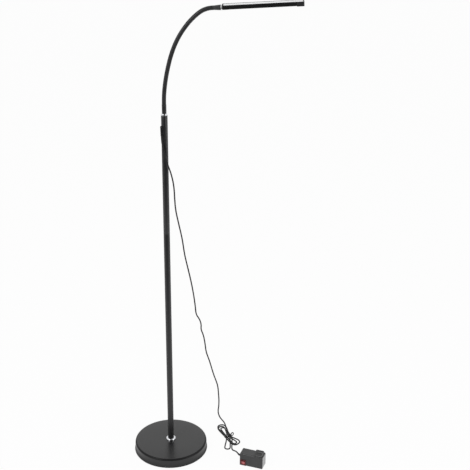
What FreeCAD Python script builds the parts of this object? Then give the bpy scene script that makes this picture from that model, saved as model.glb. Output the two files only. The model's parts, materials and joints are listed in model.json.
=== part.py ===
import FreeCAD, Part
import math
import os

# Corner floor lamp, in millimetres: the base stands on z = 0 with its centre at the origin, +Z is up, and the neck
# bends over towards +X. Angles are in degrees.

overrun = 2.0
running_gap = 0.05
loose_gap = 0.1
body_gap = 0.3
tolerance = 1e-6

# Base
base_radius = 126.0
flare_width = 2.0
base_height = 34.0
base_wall = 1.5
rim_round = 5.0
flare_lip = 1.6
flare_rise = 4.0
side_lean = 0.8
pad_thickness = 2.0
pad_inset = 5.0
plate_thickness = 1.5
weight_gap = 1.5
weight_chamfer = 4.5
access_radius = 16.0
recess_radius = 17.0
recess_depth = 14.0
stud_radius = 5.0
stud_tail = 3.0
washer_radius = 15.0
washer_thickness = 2.0
nut_flats = 17.0
nut_thickness = 8.0

# Pole
pole_radius = 10.0
pole_wall = 1.0
section_length = 389.5
sections = 3
foot_bush_length = 30.0
coupler_length = 44.0
coupler_bore = 5.0
collar_radius = 16.5
collar_height = 7.0
collar_edge = 1.6
collar_round = 4.2
cap_height = 6.0
cap_edge = 2.0
cap_top_radius = 7.6
neck_bush_length = 26.0
spigot_radius = 5.0
spigot_length = 22.0

# Gooseneck
neck_radius = 6.5
lead_radius = 2.2
lead_bore = 2.6
ferrule_radius = 7.0
ferrule_length = 28.0
pivot_rise = 4.0
link_length = 43.0
link_turns = (6.5, 4.5, 4.0, 6.5, 9.5, 9.0, 12.0, 34.5)
seat_radius = neck_radius + body_gap
lead_start = 7.25
lead_end = 6.2

# Light head, along its own axis from the last pivot
head_ferrule_length = 25.0
head_ferrule_radius = 8.0
head_ferrule_neck = 6.0
head_spigot_length = 10.0
head_ring_length = 4.4
head_ring_radius = 9.0
head_ring_round = 0.9
housing_start = head_ferrule_length + head_ring_length
housing_width = 38.0
housing_depth = 12.0
housing_rise = 1.75
housing_crown = 0.3
housing_corner = 1.5
housing_wall = 1.6
housing_roof = 3.5
head_length = 238.0
end_plate = 2.5
boss_radius = 7.75
boss_length = 22.0
boss_round = 5.0
socket_length = 30.0
socket_floor = 1.6
post_radius = 3.0
post_share = 0.55
screw_radius = 1.25
screw_head_radius = 2.3
screw_head_depth = 1.2
screw_bite = 1.4
strip_width = 33.0
strip_thickness = 0.8
strip_sink = 1.2
strip_margin = 3.0
end_cap_length = 22.0
end_cap_drop = 1.5
end_cap_tongue = 8.0
end_cap_corner = 4.0
diffuser_thickness = 2.0
diffuser_recess = 0.8
board_thickness = 1.6
board_width = 22.0
driver_length = 22.0
driver_gap = 3.0
coil_radius = 2.6
coil_height = 2.4
chip_block = 5.0
chip_size = 3.0
chip_height = 0.8
chip_count = 30
head_lead_reach = 6.0

# Cord
cord_diameter = 4.5
cord_radius = cord_diameter / 2
arc_share = 0.45
boot_radial = 14.0
boot_turn = 232.0
boot_drop = 62.5
boot_length = 32.0
boot_top_radius = 3.6
boot_bottom_radius = 2.9
boot_stub_radius = 3.0
boot_stub_drop = 11.0
boot_stub_inset = 2.0

supply_route = (
    (-8.619, -11.032, 1140.0), (-8.619, -11.032, 1125.0), (-4.6, -15.6, 1104.0), (1.4, -19.0, 1078.0),
    (9.2, -18.4, 1050.0), (19.2, -11.6, 1017.0), (26.0, 0.2, 973.0), (26.6, 9.4, 924.0),
    (28.4, 17.6, 884.0), (37.0, 28.6, 832.0), (46.6, 41.2, 776.0), (51.8, 52.6, 718.0),
    (62.0, 63.4, 662.0), (71.4, 74.8, 608.0), (79.0, 86.4, 552.0), (83.6, 96.4, 502.0),
    (85.0, 103.6, 470.0), (97.6, 108.2, 448.0), (102.6, 111.8, 426.0), (100.6, 116.6, 405.0),
    (109.4, 122.0, 380.0), (114.4, 130.4, 341.0), (117.4, 138.6, 303.0), (126.6, 145.0, 272.0),
    (134.4, 152.6, 238.0), (142.6, 161.0, 200.0), (151.4, 166.8, 170.0), (157.6, 171.8, 146.0),
    (159.8, 180.6, 108.0), (161.2, 192.4, 73.0), (160.2, 199.8, 42.0), (157.2, 202.6, 20.5),
    (159.6, 196.6, 8.2), (165.6, 184.8, 2.3), (172.6, 171.6, 2.3), (180.481, 156.6, 2.3),
    (186.2, 139.0, 2.3),
)
tail_route = (
    (210.6, 52.6, 8.6), (212.853, 42.0, 8.6), (212.9, 29.0, 8.4), (213.3, 15.0, 7.0),
    (212.7, 1.5, 3.2), (213.3, -12.0, 3.4), (217.3, -26.0, 8.2), (223.3, -41.0, 16.8),
    (230.894, -56.837, 24.0), (236.614, -68.512, 24.0),
)

# Hank: loops from the waist out to lobes, wound on the floor and then back out on a second layer
waist_place = (196.5, 64.0)
waist_heading = -60.0
waist_step = 5.8
waist_lift = 1.15
layer_rise = 5.3
floor_lift = 0.05
upper_heading = 113.0
upper_reach = 56.0
upper_inner_reach = 44.0
lower_heading = -56.0
lower_reach = 41.0
lower_inner_reach = 42.0
side_heading = -89.0
side_reach = 66.0
inner_bend = 9.9
loop_step = 5.2
side_bend = 9.5
crossing_share = 0.7
entry_heading = -72.0
exit_heading = -78.0
tie_width = 6.0
tie_thickness = 0.8
tie_gap = 0.3
tie_loop_radius = 5.5
tie_wire_radius = 1.6
tie_loop_seat = 0.8
tie_loop_shift = 4.0
tie_loop_tilt = 50.0

# Adapter: length, depth and height along its own axes from its front lower left corner
adapter_place = (241.1, -97.1)
adapter_turn = -18.9
adapter_length = 82.0
adapter_depth = 37.0
adapter_height = 46.0
adapter_round = 3.5
adapter_wall = 2.2
cover_depth = 7.0
cover_wall = 2.5
cover_lip = 3.0
lip_thickness = 1.4
rib_width = 4.0
rib_height = 0.9
rib_length = 23.0
rib_end = 3.5
rib_inset = 3.5
rib_round = 9.0
relief_depth = 20.0
relief_height = 24.0
relief_length = 15.0
relief_turn = 45.0
relief_ring_count = 7
relief_root_radius = 3.9
relief_tip_radius = 2.9
relief_neck_radius = 3.0
relief_flange_radius = 4.6
relief_flange = 1.5
plate_width = 28.0
plate_height = 36.0
plate_depth = 5.0
plate_left = 46.0
plate_round = 3.0
pin_radius = 2.0
pin_sleeve_radius = 1.7
pin_sleeve_length = 10.0
pin_length = 19.0
pin_spacing = 19.0
pin_root = 4.5
pin_chamfer = 0.8
pin_height = 28.0
switch_flange = 22.4
switch_flange_depth = 1.2
switch_tub = 17.6
switch_pocket = 16.0
switch_depth = 13.0
switch_floor = 1.5
switch_place = 12.6
rocker_width = 15.4
rocker_half = 7.0
rocker_pivot_depth = 4.0
rocker_front = 6.0
rocker_valley = 4.9
rocker_back = 2.0
rocker_keel = 3.0
rocker_tilt = 7.0
rocker_pin_radius = 1.2
rocker_pin_length = 0.7
circuit_height = 24.0
circuit_thickness = 1.6
circuit_gap = 3.5
core_length = 28.0
core_depth = 20.0
core_height = 18.0
core_left = 32.0
capacitor_radius = 4.0
capacitor_height = 9.0
capacitor_step = 13.0
capacitor_count = 3

nodes = {}


def keep(name, shape):
    """Write one node of the lamp."""
    nodes[name] = shape
    shape.exportStep("parts/" + name + ".step")
    print(name, "solids", len(shape.Solids), "valid", shape.isValid(), "volume", round(shape.Volume, 1))


def vec(x, y, z):
    return FreeCAD.Vector(x, y, z)


centre = vec(0, 0, 0)
upward = vec(0, 0, 1)
sideways = vec(0, 1, 0)
forward = vec(1, 0, 0)


def rod(radius, low, high, x=0, y=0):
    """Upright cylinder between two heights."""
    return Part.makeCylinder(radius, high - low, vec(x, y, low))


def tube(outer, inner, low, high):
    """Upright tube between two heights."""
    return rod(outer, low, high).cut(rod(inner, low - overrun, high + overrun))


def block(low, high):
    """Box between two corners."""
    return Part.makeBox(high[0] - low[0], high[1] - low[1], high[2] - low[2], vec(*low))


def bend(x, z, radius, first, last):
    """Middle and end of an arc about a centre, for an outline."""
    middle = math.radians((first + last) / 2)
    end = math.radians(last)
    return (
        x + radius * math.cos(middle), z + radius * math.sin(middle),
        x + radius * math.cos(end), z + radius * math.sin(end),
    )


def outline(start, *steps):
    """Flat face in the XZ plane: each step is a line's end, or an arc's middle and end."""
    edges = []
    here = start
    for step in steps + (start,):
        there = step[-2:]
        first = vec(here[0], 0, here[1])
        last = vec(there[0], 0, there[1])
        if len(step) == 4:
            edges.append(Part.Arc(first, vec(step[0], 0, step[1]), last).toShape())
        else:
            edges.append(Part.LineSegment(first, last).toShape())
        here = there
    return Part.Face(Part.Wire(edges))


def turned(start, *steps):
    """Solid of revolution about the Z axis."""
    return outline(start, *steps).revolve(centre, upward, 360)


def bar(start, end, *steps, from_place=0, length=0):
    """Outline across Y and Z, drawn out along X."""
    face = outline(start, end, *steps)
    face.rotate(centre, upward, 90)
    face.translate(vec(from_place, 0, 0))
    return face.extrude(vec(length, 0, 0))


def rounded(solid, radius, chosen):
    """Round the edges whose middle passes the test."""
    edges = []
    for edge in solid.Edges:
        if chosen(edge.CenterOfMass):
            edges.append(edge)
    return solid.makeFillet(radius, edges)


def direction(angle):
    """Level unit vector at an angle from +X."""
    return vec(math.cos(math.radians(angle)), math.sin(math.radians(angle)), 0)


def cord_along(points, name):
    """Tube along straight runs joined by tangent arcs, each reaching along a share of its shorter run."""
    places = [vec(*point) for point in points]
    edges = []
    radii = []
    here = places[0]
    for before, corner, after in zip(places, places[1:], places[2:]):
        back = before - corner
        ahead = after - corner
        half_turn = (math.pi - back.getAngle(ahead)) / 2
        setback = arc_share * min(back.Length, ahead.Length)
        radius = setback / math.tan(half_turn)
        back.normalize()
        ahead.normalize()
        first = corner + back * setback
        last = corner + ahead * setback
        inward = back + ahead
        inward.normalize()
        middle = corner + inward * (radius / math.cos(half_turn) - radius)
        edges.append(Part.LineSegment(here, first).toShape())
        edges.append(Part.Arc(first, middle, last).toShape())
        radii.append(radius)
        here = last
    edges.append(Part.LineSegment(here, places[-1]).toShape())
    wire = Part.Wire(edges)
    profile = Part.Wire([Part.makeCircle(cord_radius, places[0], places[1] - places[0])])
    solid = wire.makePipeShell([profile], True, False)
    runs = [(b - a).Length for a, b in zip(places, places[1:])]
    share = solid.Volume / (math.pi * cord_radius ** 2 * wire.Length)
    print(name, "length", round(wire.Length, 1), "volume share", round(share, 4))
    print("  runs", [round(run, 1) for run in runs])
    print("  radii", [round(radius, 1) for radius in radii])
    return solid


os.makedirs("parts", exist_ok=True)

# Base
rim_radius = base_radius - flare_width
pad_radius = base_radius - pad_inset
weight_radius = rim_radius - base_wall - weight_gap
plate_low = pad_thickness
weight_low = pad_thickness + plate_thickness
weight_high = base_height - base_wall
flare_low = pad_thickness + flare_lip
flare_high = flare_low + flare_rise
rim_centre = (rim_radius - rim_round, base_height - rim_round)
stud_hole = stud_radius + loose_gap
stud_thread = stud_radius + running_gap
recess_high = weight_low + recess_depth
washer_low = recess_high - washer_thickness
nut_low = washer_low - nut_thickness

keep("base_shell", turned(
    (base_radius, pad_thickness), (base_radius, flare_low), (rim_radius + side_lean, flare_high),
    (rim_radius, rim_centre[1]), bend(*rim_centre, rim_round, 0, 90),
    (stud_hole, base_height), (stud_hole, weight_high),
    (rim_centre[0], weight_high), bend(*rim_centre, rim_round - base_wall, 90, 0),
    (rim_radius + side_lean - base_wall, flare_high), (base_radius - base_wall, flare_low),
    (base_radius - base_wall, pad_thickness),
))
keep("base_weight", turned(
    (recess_radius, weight_low), (weight_radius, weight_low),
    (weight_radius, weight_high - weight_chamfer), (weight_radius - weight_chamfer, weight_high),
    (stud_hole, weight_high), (stud_hole, recess_high), (recess_radius, recess_high),
))
keep("base_plate", tube(base_radius - base_wall - loose_gap, access_radius, plate_low, weight_low))
keep("floor_pad", rod(pad_radius, 0, pad_thickness))
keep("base_washer", tube(washer_radius, stud_hole, washer_low, recess_high))
nut_corner = nut_flats / 2 / math.cos(math.pi / 6)
nut_points = [direction(60 * turn) * nut_corner + upward * nut_low for turn in range(7)]
nut = Part.Face(Part.makePolygon(nut_points)).extrude(upward * nut_thickness)
keep("base_nut", nut.cut(rod(stud_thread, nut_low - overrun, washer_low + overrun)))
foot_bush_top = base_height + foot_bush_length
keep("base_stud", rod(stud_radius, nut_low - stud_tail, foot_bush_top - stud_tail))

# Pole
bush_radius = pole_radius - pole_wall - running_gap
pole_top = base_height + sections * section_length
keep("foot_bush", tube(bush_radius, stud_thread, base_height, foot_bush_top))
collar_bore = pole_radius + running_gap
collar_top = collar_radius - collar_round
collar_low = base_height + collar_edge
diagonal = math.sqrt(0.5)
keep("foot_collar", turned(
    (collar_bore, base_height), (collar_radius, base_height), (collar_radius, collar_low),
    (collar_top + collar_round * diagonal, collar_low + (collar_height - collar_edge) * diagonal,
     collar_top, base_height + collar_height),
    (collar_bore, base_height + collar_height),
))
boot_way = direction(boot_turn)
boot_bottom = pole_top - boot_drop
stub_height = boot_bottom + boot_length - boot_stub_drop
stub_start = boot_way * (bush_radius - boot_stub_inset) + upward * stub_height
stub_end = boot_way * boot_radial + upward * stub_height
stub_hole = Part.makeCylinder(boot_stub_radius + running_gap, boot_radial, upward * stub_height, boot_way)
couplers = []
for number, name in enumerate(("pole_lower", "pole_middle", "pole_upper")):
    low = base_height + number * section_length
    section = tube(pole_radius, pole_radius - pole_wall, low, low + section_length)
    if name == "pole_upper":
        section = section.cut(stub_hole)
    keep(name, section)
    if number:
        half = coupler_length / 2
        couplers.append(tube(bush_radius, coupler_bore, low - half, low + half))
keep("pole_couplers", Part.makeCompound(couplers))
spigot_bore = spigot_radius + running_gap
cap_top = pole_top + cap_height
keep("pole_cap", turned(
    (spigot_bore, pole_top), (pole_radius, pole_top), (pole_radius, pole_top + cap_edge),
    (cap_top_radius + (pole_radius - cap_top_radius) * diagonal,
     pole_top + cap_edge + (cap_height - cap_edge) * diagonal, cap_top_radius, cap_top),
    (spigot_bore, cap_top),
))
keep("neck_bush", tube(bush_radius, spigot_bore, pole_top - neck_bush_length, pole_top))

# Gooseneck: a ferrule that ends in a ball, and links that each have a seat below and a ball above
ferrule_top = cap_top + ferrule_length
pivot = vec(0, 0, ferrule_top + pivot_rise)
ball_rise = math.sqrt(neck_radius ** 2 - lead_bore ** 2)
bore_angle = math.degrees(math.atan2(ball_rise, lead_bore))
spigot_low = cap_top - spigot_length
keep("neck_ferrule", turned(
    (lead_bore, spigot_low), (spigot_radius, spigot_low), (spigot_radius, cap_top), (ferrule_radius, cap_top),
    (ferrule_radius, ferrule_top - (ferrule_radius - neck_radius)), (neck_radius, ferrule_top),
    (neck_radius, pivot.z), bend(0, pivot.z, neck_radius, 0, bore_angle),
))
lead_bend = 2 * lead_radius
lead_bend_inset = lead_bend * (1 - diagonal)
pole_lead_route = Part.Wire([
    Part.LineSegment(stub_start, boot_way * lead_bend + upward * stub_height).toShape(),
    Part.Arc(
        boot_way * lead_bend + upward * stub_height,
        boot_way * lead_bend_inset + upward * (stub_height + lead_bend_inset),
        upward * (stub_height + lead_bend),
    ).toShape(),
    Part.LineSegment(upward * (stub_height + lead_bend), pivot + upward * lead_end).toShape(),
])
lead_profile = Part.Wire([Part.makeCircle(lead_radius, stub_start, boot_way)])
keep("pole_lead", pole_lead_route.makePipeShell([lead_profile], True, False))


def ahead_at(lean):
    """Unit vector that leans from upright towards +X."""
    return vec(math.sin(math.radians(lean)), 0, math.cos(math.radians(lean)))


def inward_at(lean):
    """Unit vector towards the inside of the neck's bend."""
    return vec(math.cos(math.radians(lean)), 0, -math.sin(math.radians(lean)))


def curved_rod(radius, start, lean, bend_radius, turn):
    """Round rod on an arc in the XZ plane."""
    face = Part.Face(Part.Wire([Part.makeCircle(radius, start, ahead_at(lean))]))
    return face.revolve(start + inward_at(lean) * bend_radius, sideways, turn)


lean = 0
print("pivot 1", pivot, "lean", lean)
for number, turn in enumerate(link_turns, 1):
    bend_radius = link_length / math.radians(turn)
    middle = pivot + inward_at(lean) * bend_radius
    end_lean = lean + turn
    end = middle - inward_at(end_lean) * bend_radius
    outer = curved_rod(neck_radius, pivot, lean, bend_radius, turn)
    bore = curved_rod(lead_bore, pivot, lean, bend_radius, turn)
    ball = Part.makeSphere(neck_radius, end, ahead_at(end_lean), 0, 90, 360)
    ball_bore = Part.makeCylinder(lead_bore, neck_radius + overrun, end, ahead_at(end_lean))
    link = outer.cut(bore).fuse(ball.cut(ball_bore)).cut(Part.makeSphere(seat_radius, pivot))
    keep("neck_link_" + str(number), link)
    first_turn = math.degrees(lead_start / bend_radius)
    first = middle - inward_at(lean + first_turn) * bend_radius
    lead = curved_rod(lead_radius, first, lean + first_turn, bend_radius, turn - first_turn)
    lead_tip = Part.makeCylinder(lead_radius, lead_end, end, ahead_at(end_lean))
    keep("neck_lead_" + str(number), lead.fuse(lead_tip))
    pivot = end
    lean = end_lean
    print("pivot", number + 1, pivot, "lean", lean)

# Light head, made along +X from the last pivot and then set in place
head_place = FreeCAD.Placement(pivot, FreeCAD.Rotation(sideways, lean - 90))
half_width = housing_width / 2
head_high = housing_rise + housing_depth / 2
head_low = housing_rise - housing_depth / 2
roof_low = head_high - housing_roof
inner_half = half_width - housing_wall
fit_half = inner_half - loose_gap
head_end = housing_start + head_length
housing_low = housing_start + end_plate
socket_end = housing_start + socket_length
cap_start = head_end - end_cap_length
tongue_start = cap_start - end_cap_tongue


def keep_head(name, shape):
    """Set a piece of the light head in place and write it."""
    placed = shape.copy()
    placed.Placement = head_place.multiply(shape.Placement)
    keep(name, placed)


def along_head(shape):
    """Lay a piece turned about Z along +X."""
    laid = shape.copy()
    laid.rotate(centre, sideways, 90)
    return laid


def housing_bar(low, start, length):
    """Bar of the housing's outer section, with its slightly crowned top."""
    corner = half_width - housing_corner
    corner_high = head_high - housing_corner
    return bar(
        (-half_width, low), (-half_width, corner_high),
        bend(-corner, corner_high, housing_corner, 180, 90),
        (0, head_high + housing_crown, corner, head_high),
        bend(corner, corner_high, housing_corner, 90, 0),
        (half_width, low), from_place=start, length=length,
    )


seat_rise = math.sqrt(seat_radius ** 2 - neck_radius ** 2)
seat_depth = math.sqrt(seat_radius ** 2 - lead_bore ** 2)
seat_outer_angle = math.degrees(math.atan2(seat_rise, neck_radius))
seat_inner_angle = math.degrees(math.atan2(seat_depth, lead_bore))
head_spigot_end = head_ferrule_length + head_spigot_length
keep_head("head_ferrule", along_head(turned(
    (lead_bore, seat_depth), bend(0, 0, seat_radius, seat_inner_angle, seat_outer_angle),
    (neck_radius, head_ferrule_neck), (head_ferrule_radius, head_ferrule_length),
    (spigot_radius, head_ferrule_length), (spigot_radius, head_spigot_end), (lead_bore, head_spigot_end),
)))
ring_edge = head_ring_radius - head_ring_round
keep_head("head_ring", along_head(turned(
    (spigot_bore, head_ferrule_length), (ring_edge, head_ferrule_length),
    bend(ring_edge, head_ferrule_length + head_ring_round, head_ring_round, -90, 0),
    (head_ring_radius, housing_start - head_ring_round),
    bend(ring_edge, housing_start - head_ring_round, head_ring_round, 0, 90),
    (spigot_bore, housing_start),
)))

boss_end = housing_start + boss_length
spigot_stop = head_spigot_end + loose_gap
boss = along_head(turned(
    (0, housing_start), (boss_radius, housing_start), (boss_radius, boss_end - boss_round),
    bend(boss_radius - boss_round, boss_end - boss_round, boss_round, 0, 90), (0, boss_end),
))
boss = boss.cut(block(
    (housing_start - overrun, -half_width, roof_low - loose_gap), (boss_end + overrun, half_width, half_width),
))
socket = housing_bar(head_low, housing_start, end_plate).fuse(boss)
socket = socket.fuse(block(
    (housing_low, -fit_half, head_low), (socket_end, fit_half, head_low + socket_floor),
))
post_place = housing_start + socket_length * post_share
post_side = (boss_radius + inner_half) / 2
screw_hole = screw_radius + running_gap
head_hole = screw_head_radius + running_gap
screw_holes = []
screws = []
for side in (-post_side, post_side):
    post = rod(post_radius, head_low, roof_low, post_place, side)
    socket = socket.fuse(post)
    screw_holes.append(rod(screw_hole, head_low - overrun, roof_low + screw_bite, post_place, side))
    screw_holes.append(rod(head_hole, head_low - overrun, head_low + screw_head_depth, post_place, side))
    shank = rod(screw_radius, head_low, roof_low + screw_bite, post_place, side)
    screws.append(shank.fuse(rod(screw_head_radius, head_low, head_low + screw_head_depth, post_place, side)))
spigot_hole = along_head(rod(spigot_bore, housing_start - overrun, spigot_stop))
socket = socket.cut(screw_holes)
socket = socket.cut(spigot_hole)
socket = socket.cut(along_head(rod(lead_bore, housing_start, boss_end + overrun)))
keep_head("head_socket", socket)
keep_head("head_screws", Part.makeCompound(screws))

strip_start = housing_start + strip_margin
strip_end = head_end - strip_margin
crown = housing_bar(head_low, strip_start, strip_end - strip_start)
crown.translate(upward * -strip_sink)
channel_floor = crown.copy()
channel_floor.translate(upward * -strip_thickness)
channel = block((strip_start, -strip_width / 2, 0), (strip_end, strip_width / 2, half_width)).cut(channel_floor)
keep_head("head_strip", channel.common(crown))

housing = housing_bar(head_low, housing_low, cap_start - housing_low)
housing = housing.cut(block(
    (housing_low - overrun, -inner_half, head_low - overrun), (cap_start + overrun, inner_half, roof_low),
))
keep_head("head_housing", housing.cut(channel).cut(screw_holes).cut(spigot_hole))

end_cap = housing_bar(head_low - end_cap_drop, cap_start, end_cap_length)
plan = rounded(
    block((cap_start - end_cap_tongue, -half_width, -half_width), (head_end, half_width, half_width)),
    end_cap_corner, lambda middle: middle.x > head_end - end_cap_corner and abs(middle.y) > inner_half
    and abs(middle.z) < end_cap_corner,
)
tongue = block((tongue_start, -fit_half, head_low), (cap_start, fit_half, roof_low - loose_gap))
keep_head("head_end_cap", end_cap.common(plan).fuse(tongue).cut(channel))

diffuser_low = head_low + diffuser_recess
keep_head("head_diffuser", block(
    (socket_end + loose_gap, -fit_half, diffuser_low),
    (tongue_start - loose_gap, fit_half, diffuser_low + diffuser_thickness),
))
board_low = roof_low - board_thickness
driver_start = boss_end + loose_gap
driver_end = driver_start + driver_length
driver = block((driver_start, -board_width / 2, board_low), (driver_end, board_width / 2, roof_low))
coil_place = driver_end - driver_gap - coil_radius
driver = driver.fuse(rod(coil_radius, board_low - coil_height, board_low, coil_place, -board_width / 4))
driver = driver.fuse(block(
    (coil_place - chip_block / 2, board_width / 4 - chip_block / 2, board_low - coil_height / 2),
    (coil_place + chip_block / 2, board_width / 4 + chip_block / 2, board_low),
))
keep_head("driver_board", driver)
led_start = driver_end + driver_gap
led_end = tongue_start - loose_gap
keep_head("led_board", block((led_start, -board_width / 2, board_low), (led_end, board_width / 2, roof_low)))
chips = []
chip_pitch = (led_end - led_start) / chip_count
for number in range(chip_count):
    place = led_start + chip_pitch * (number + 0.5)
    chips.append(block(
        (place - chip_size / 2, -chip_size / 2, board_low - chip_height),
        (place + chip_size / 2, chip_size / 2, board_low),
    ))
keep_head("led_chips", Part.makeCompound(chips))
keep_head("head_lead", along_head(rod(lead_radius, lead_start, boss_end + head_lead_reach)))

# Cord, from its boot on the pole to the hank, and from the hank to the adapter
boot_axis = boot_way * boot_radial
boot_top = boot_bottom + boot_length
boot = turned(
    (0, boot_bottom), (boot_bottom_radius, boot_bottom), (boot_top_radius, boot_top - boot_top_radius),
    bend(0, boot_top - boot_top_radius, boot_top_radius, 0, 90),
)
boot.translate(boot_axis)
stub = Part.makeCylinder(boot_stub_radius, (stub_end - stub_start).Length, stub_start, boot_way)
keep("cord_boot", boot.fuse(stub))
keep("supply_cord", cord_along(supply_route, "supply_cord"))
keep("tail_cord", cord_along(tail_route, "tail_cord"))

low_layer = cord_radius + floor_lift
high_layer = low_layer + layer_rise
waist_way = direction(waist_heading)
waist_side = direction(waist_heading + 90)
waist_centre = vec(waist_place[0], waist_place[1], 0)


def waist(steps, height, sense):
    """Point and heading where a strand passes the waist, counted in steps from its middle."""
    return (waist_centre + waist_side * (steps * waist_step) + upward * (height + waist_lift), waist_way * sense)


def lobe(heading, reach, out_radius, back_radius, height):
    """Points and headings round one lobe: out on its left side, over its tip and back on its right."""
    way = direction(heading)
    left = direction(heading + 90)
    hub = waist_centre + way * reach + upward * height
    return [
        (hub + left * out_radius, way),
        (hub + way * ((out_radius + back_radius) / 2), left * -1),
        (hub - left * back_radius, way * -1),
    ]


def loop_radius(steps):
    return inner_bend + loop_step * steps


entry = vec(*supply_route[-1])
entry_way = direction(entry_heading)
exit_point = vec(*tail_route[0])
exit_way = direction(exit_heading)
crossing = side_reach * crossing_share
side_way = direction(side_heading)
hank_path = [(entry, entry_way), (entry + entry_way * cord_diameter, entry_way)]
hank_path.append(lobe(upper_heading, upper_reach, inner_bend, loop_radius(1), low_layer)[2])
hank_path.append(waist(1.5, low_layer, 1))
hank_path += lobe(lower_heading, lower_reach, loop_radius(2.3), loop_radius(0.3), low_layer)
hank_path.append(waist(-1.5, low_layer, -1))
hank_path += lobe(upper_heading, upper_reach, loop_radius(0.9), loop_radius(0), low_layer)
hank_path.append(waist(0.5, low_layer, 1))
hank_path += lobe(lower_heading, lower_inner_reach, loop_radius(0), loop_radius(-0.75), low_layer)
hank_path.append(waist(-0.5, low_layer, -1))
hank_path += lobe(upper_heading, upper_inner_reach, loop_radius(-0.25), loop_radius(-0.65), high_layer)
hank_path.append(waist(0.5, high_layer, 1))
hank_path.append((lobe(side_heading, crossing, side_bend, side_bend, high_layer)[0][0], side_way))
hank_path += lobe(side_heading, side_reach, side_bend, side_bend, low_layer)
hank_path.append(waist(-1.5, high_layer, -1))
hank_path += lobe(upper_heading, upper_reach, loop_radius(1), loop_radius(0.9), high_layer)
hank_path.append(waist(1.5, high_layer, 1))
hank_path.append((exit_point - exit_way * cord_diameter, exit_way))
hank_path.append((exit_point, exit_way))


def arc_from(first, way, last):
    """Arc or line from a point that leaves it along a direction, with its radius."""
    chord = last - first
    along = way.dot(chord) / chord.Length
    across = way - chord * (along / chord.Length)
    if across.Length < tolerance:
        return Part.LineSegment(first, last), math.inf
    angle = math.atan2(across.Length, along)
    across.normalize()
    middle = (first + last) * 0.5 + across * (chord.Length / 2 * math.tan(angle / 2))
    return Part.Arc(first, middle, last), chord.Length / 2 / math.sin(angle)


def biarc(first, first_way, last, last_way):
    """Two arcs that join two points along the directions there."""
    span = last - first
    both = first_way + last_way
    spread = 2 * (1 - first_way.dot(last_way))
    reach = span.dot(both)
    if spread < tolerance:
        setback = span.dot(span) / (2 * reach)
    else:
        setback = (math.sqrt(reach ** 2 + spread * span.dot(span)) - reach) / spread
    near = first + first_way * setback
    far = last - last_way * setback
    joint = (near + far) * 0.5
    joint_way = far - near
    joint_way.normalize()
    return [arc_from(first, first_way, joint), arc_from(joint, joint_way, last)]


hank_arcs = []
for (first, first_way), (last, last_way) in zip(hank_path, hank_path[1:]):
    hank_arcs += biarc(first, first_way, last, last_way)
hank_wire = Part.Wire([arc.toShape() for arc, radius in hank_arcs])
hank_profile = Part.Wire([Part.makeCircle(cord_radius, entry, entry_way)])
hank = hank_wire.makePipeShell([hank_profile], True, False)
hank_share = hank.Volume / (math.pi * cord_radius ** 2 * hank_wire.Length)
print("hank length", round(hank_wire.Length, 1), "volume share", round(hank_share, 4))
print("hank radii", [round(radius, 1) for arc, radius in hank_arcs if radius < math.inf])
samples = []
for arc, radius in hank_arcs:
    edge = arc.toShape()
    pieces = max(2, round(edge.Length / cord_radius))
    for piece in range(pieces):
        first, last = edge.ParameterRange
        samples.append(edge.valueAt(first + (last - first) * piece / pieces))
apart = math.ceil(4 * cord_diameter / (hank_wire.Length / len(samples)))
least, where = min(
    ((samples[i] - samples[j]).Length - cord_diameter, samples[i])
    for i in range(len(samples)) for j in range(i + apart, len(samples))
)
print("hank least gap to itself", round(least, 2), "near", where)
print("hank lowest", round(min(place.z for place in samples) - cord_radius, 3))
keep("cord_hank", hank)

# Tie round the hank's waist, with the small loop that its wire ends in
tie_side = 1.5 * waist_step + cord_radius + tie_gap
tie_low = low_layer + waist_lift - cord_radius - tie_gap
tie_high = high_layer + waist_lift + cord_radius + tie_gap


def tie_block(grow, length):
    """Bar across the waist with rounded corners, grown on its four sides."""
    solid = block(
        (-length / 2, -tie_side - grow, tie_low - grow), (length / 2, tie_side + grow, tie_high + grow),
    )
    radius = cord_radius + tie_gap + grow
    return rounded(solid, radius, lambda middle: abs(middle.x) < tie_gap and (
        abs(middle.y) > tie_side - cord_radius and not tie_low + cord_radius < middle.z < tie_high - cord_radius
    ))


tie = tie_block(tie_thickness, tie_width).cut(tie_block(0, tie_width + overrun))
tie_loop = Part.makeTorus(tie_loop_radius, tie_wire_radius, sideways * tie_loop_radius)
tie_loop.rotate(centre, forward, tie_loop_tilt)
tie_loop_side = tie_side + tie_thickness + tie_wire_radius - tie_loop_seat
tie_loop.translate(vec(tie_loop_shift, tie_loop_side, (tie_low + tie_high) / 2))
tie = tie.fuse(tie_loop)
tie.rotate(centre, upward, waist_heading)
tie.translate(waist_centre)
keep("hank_tie", tie)

# Adapter, made with its length along +X and its front facing -Y, and then set in place
adapter_frame = FreeCAD.Placement(vec(*adapter_place, 0), FreeCAD.Rotation(upward, adapter_turn))


def keep_adapter(name, shape):
    """Set a piece of the adapter in place and write it."""
    placed = shape.copy()
    placed.Placement = adapter_frame.multiply(shape.Placement)
    keep(name, placed)


def along_adapter(shape, way, place):
    """Turn a piece made about Z to another direction, at a place."""
    laid = shape.copy()
    laid.Placement = FreeCAD.Placement(place, FreeCAD.Rotation(upward, way))
    return laid


shell_depth = adapter_depth - cover_depth
shell = block((0, 0, 0), (adapter_length, shell_depth, adapter_height))
shell = rounded(shell, adapter_round, lambda middle: middle.y < shell_depth - running_gap)
shell = shell.cut(block(
    (adapter_wall, adapter_wall, adapter_wall),
    (adapter_length - adapter_wall, shell_depth + overrun, adapter_height - adapter_wall),
))
rib_high = adapter_height + rib_height
rib_right = adapter_length - rib_end
rib_back = shell_depth - running_gap
rib_left = rib_right - rib_length


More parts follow.
